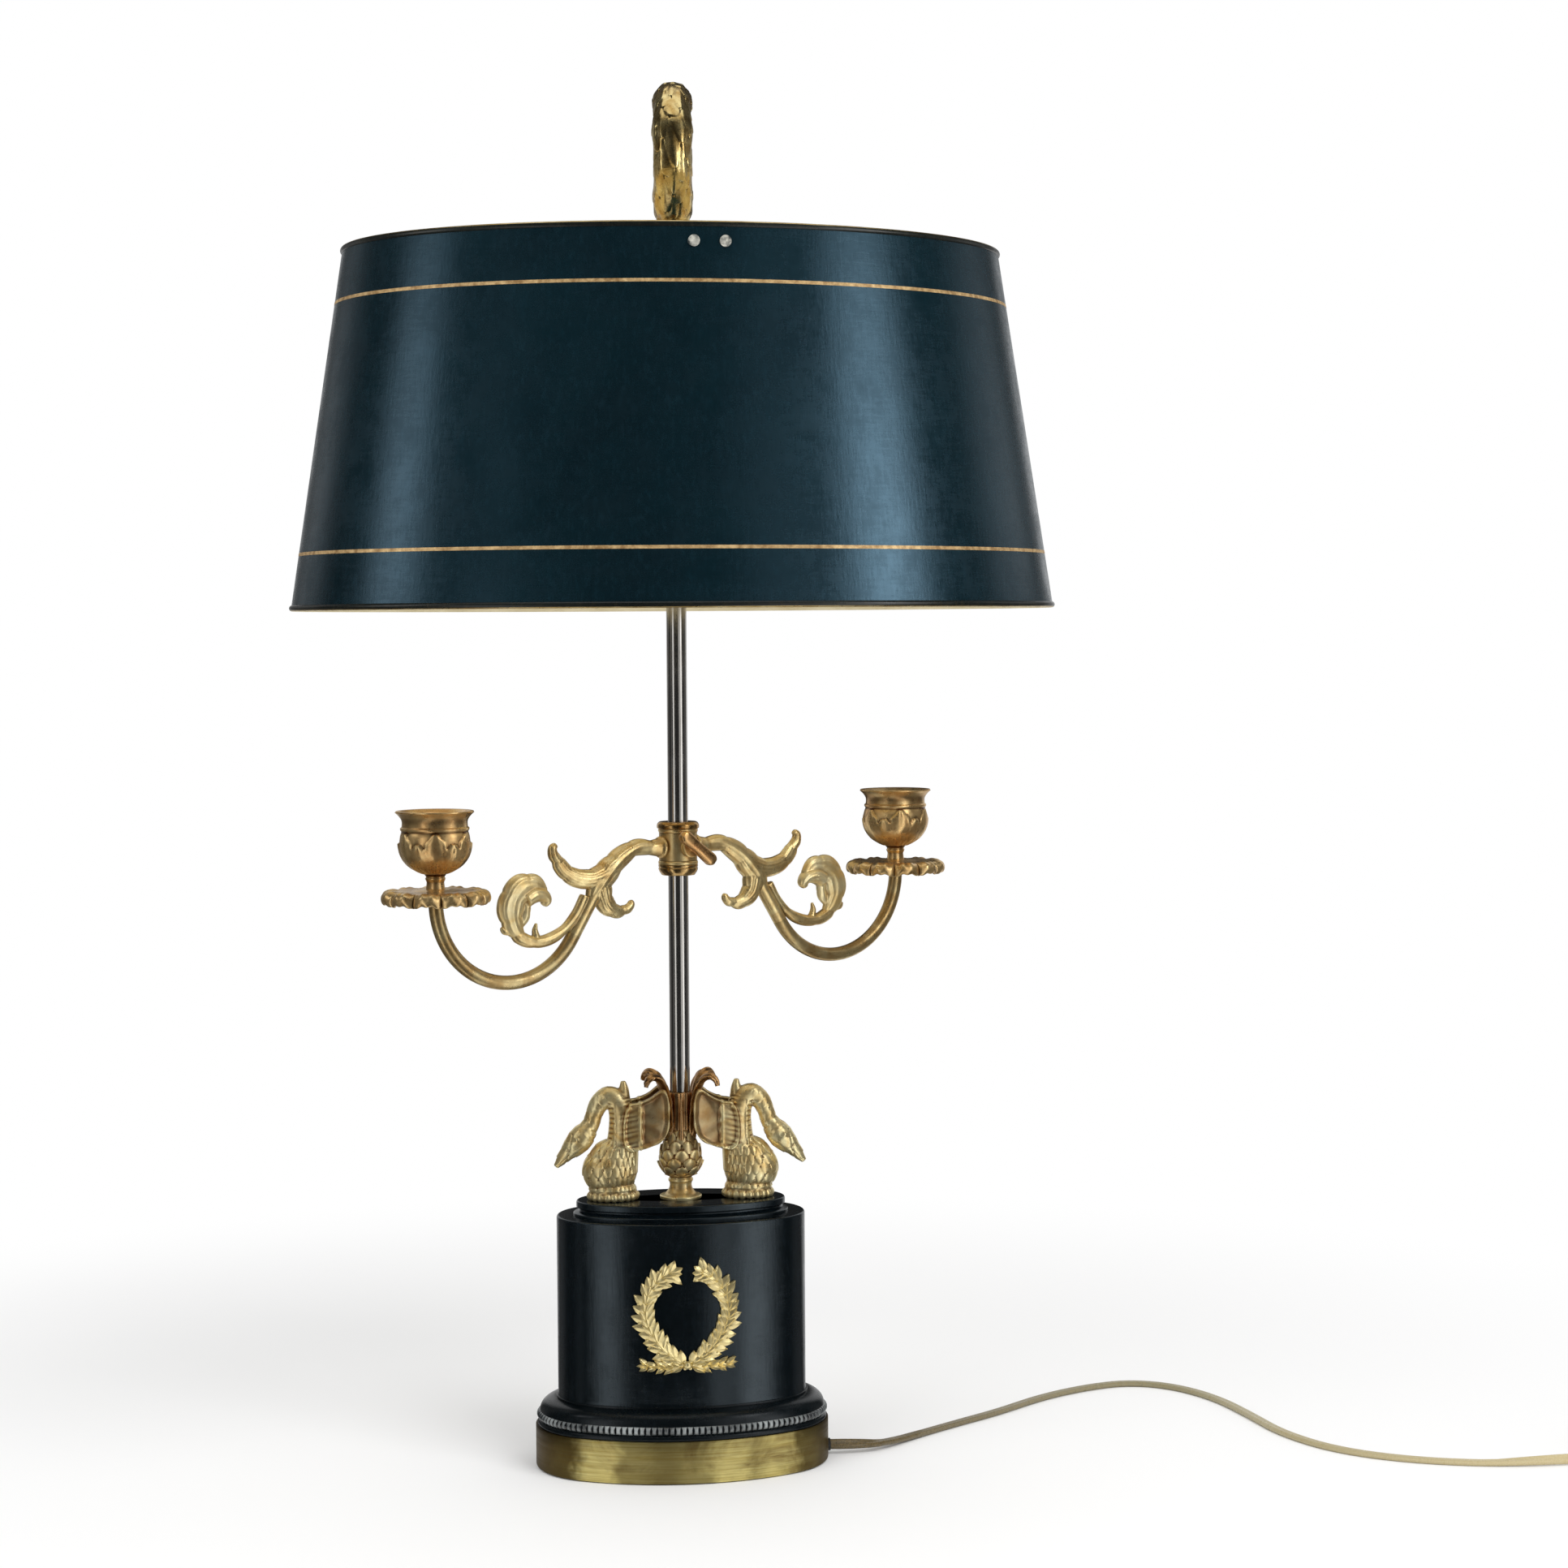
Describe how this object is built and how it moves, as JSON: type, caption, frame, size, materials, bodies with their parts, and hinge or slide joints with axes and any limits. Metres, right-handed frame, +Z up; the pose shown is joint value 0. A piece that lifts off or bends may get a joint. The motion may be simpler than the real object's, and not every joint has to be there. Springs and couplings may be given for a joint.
{
  "type": "bouillotte lamp",
  "caption": "Bouillotte table lamp: oval pedestal with swans and wreath, central rod, sliding swing-arm candle cups, oval painted metal shade that slides and turns, ring finial.",
  "frame": {"origin": "on the table under the rod, at the centre of the lamp's outline without its cord", "axes": "+Z up along the rod, +X along the oval pedestal's length towards the cord's exit, -Y is the front with the wreath"},
  "size_m": [0.7228, 0.2924, 0.6881],
  "materials": {
    "tole_green": "gloss dark green-black enamel over metal",
    "shade_tole": "hand-painted dark teal toleware, gloss, lightly mottled",
    "antique_brass": "cast, antiqued with dark patina in the recesses",
    "copper_brass": "cast, coppery antique lacquer",
    "brushed_brass": "spun and brushed, olive-gold antique lacquer",
    "gilt_rim": "worn gilt",
    "painted_strap": "painted as the shade",
    "ring_brass": "polished, lightly antiqued",
    "rod_steel": "polished nickel-grey steel",
    "cluster_brass": "satin antique",
    "ballast_iron": "as cast",
    "felt": "dark green felt",
    "black_phenolic": "black moulding",
    "bulb_cap_metal": "spun",
    "bulb_glass": "frosted",
    "gold_flex": "translucent gold PVC twin flex",
    "plug_plastic": "gold moulded PVC",
    "plug_brass": "bright"
  },
  "bodies": {
    "root": {"felt_pad": "felt", "base_band": "brushed_brass", "ballast": "ballast_iron", "gadroon_moulding": "tole_green", "pedestal_body": "tole_green", "plinth_cap": "tole_green", "wreath_mount": "antique_brass", "wreath_pins": "antique_brass", "rod": "rod_steel", "rod_washer": "rod_steel", "rod_nut": "rod_steel", "inner_flex": "gold_flex", "pinecone_foot": "antique_brass", "crown_leaves": "antique_brass", "swan_left": "antique_brass", "swan_right": "antique_brass", "swan_screws": "rod_steel", "cluster_body": "cluster_brass", "lamp_leads": "gold_flex", "lamp_holder_left": "black_phenolic", "lamp_holder_right": "black_phenolic", "bulb_cap_left": "bulb_cap_metal", "bulb_cap_right": "bulb_cap_metal", "bulb_glass_left": "bulb_glass", "bulb_glass_right": "bulb_glass", "ring_finial": "ring_brass", "cord_grommet": "black_phenolic", "cord": "gold_flex", "cord_coil": "gold_flex", "cord_tail": "gold_flex", "plug_body": "plug_plastic", "plug_blades": "plug_brass"},
    "arm_carriage": {"arm_sleeve": "antique_brass", "sleeve_nut": "antique_brass"},
    "arms": {"arm_hub": "antique_brass", "arm_left": "antique_brass", "arm_right": "antique_brass", "drip_pan_left": "copper_brass", "drip_pan_right": "copper_brass", "candle_cup_left": "copper_brass", "candle_cup_right": "copper_brass"},
    "arm_screw": {"arm_thumbscrew": "copper_brass"},
    "shade_carriage": {"shade_slider": "antique_brass", "slider_nut": "antique_brass"},
    "shade": {"shade_spider": "painted_strap", "shade_shell": "shade_tole", "shade_bottom_rim": "gilt_rim", "shade_top_rim": "gilt_rim", "shade_rivets": "gilt_rim"},
    "shade_screw": {"shade_thumbscrew": "copper_brass"},
    "switch": {"switch_knob": "black_phenolic"}
  },
  "joints": [
    {"name": "arms_height", "type": "slide", "parent": "root", "child": "arm_carriage", "axis": [0, 0, 1], "range_m": [-0.075, 0.045]},
    {"name": "arms_swing", "type": "hinge", "parent": "arm_carriage", "child": "arms", "pos_m": [0, 0, 0.3105], "axis": [0, 0, 1], "continuous": true},
    {"name": "arm_screw_turn", "type": "hinge", "parent": "arms", "child": "arm_screw", "pos_m": [0, 0, 0.3105], "axis": [0.515, -0.8572, 0], "range_deg": [0, 360]},
    {"name": "shade_height", "type": "slide", "parent": "root", "child": "shade_carriage", "axis": [0, 0, 1], "range_m": [-0.04, 0.009]},
    {"name": "shade_swing", "type": "hinge", "parent": "shade_carriage", "child": "shade", "pos_m": [0, 0, 0.596], "axis": [0, 0, 1], "continuous": true},
    {"name": "shade_screw_turn", "type": "hinge", "parent": "shade_carriage", "child": "shade_screw", "pos_m": [0, 0, 0.585], "axis": [0, -1, 0], "range_deg": [0, 360]},
    {"name": "switch_turn", "type": "hinge", "parent": "root", "child": "switch", "pos_m": [0, 0, 0.466], "axis": [0, -1, 0], "continuous": true}
  ]
}
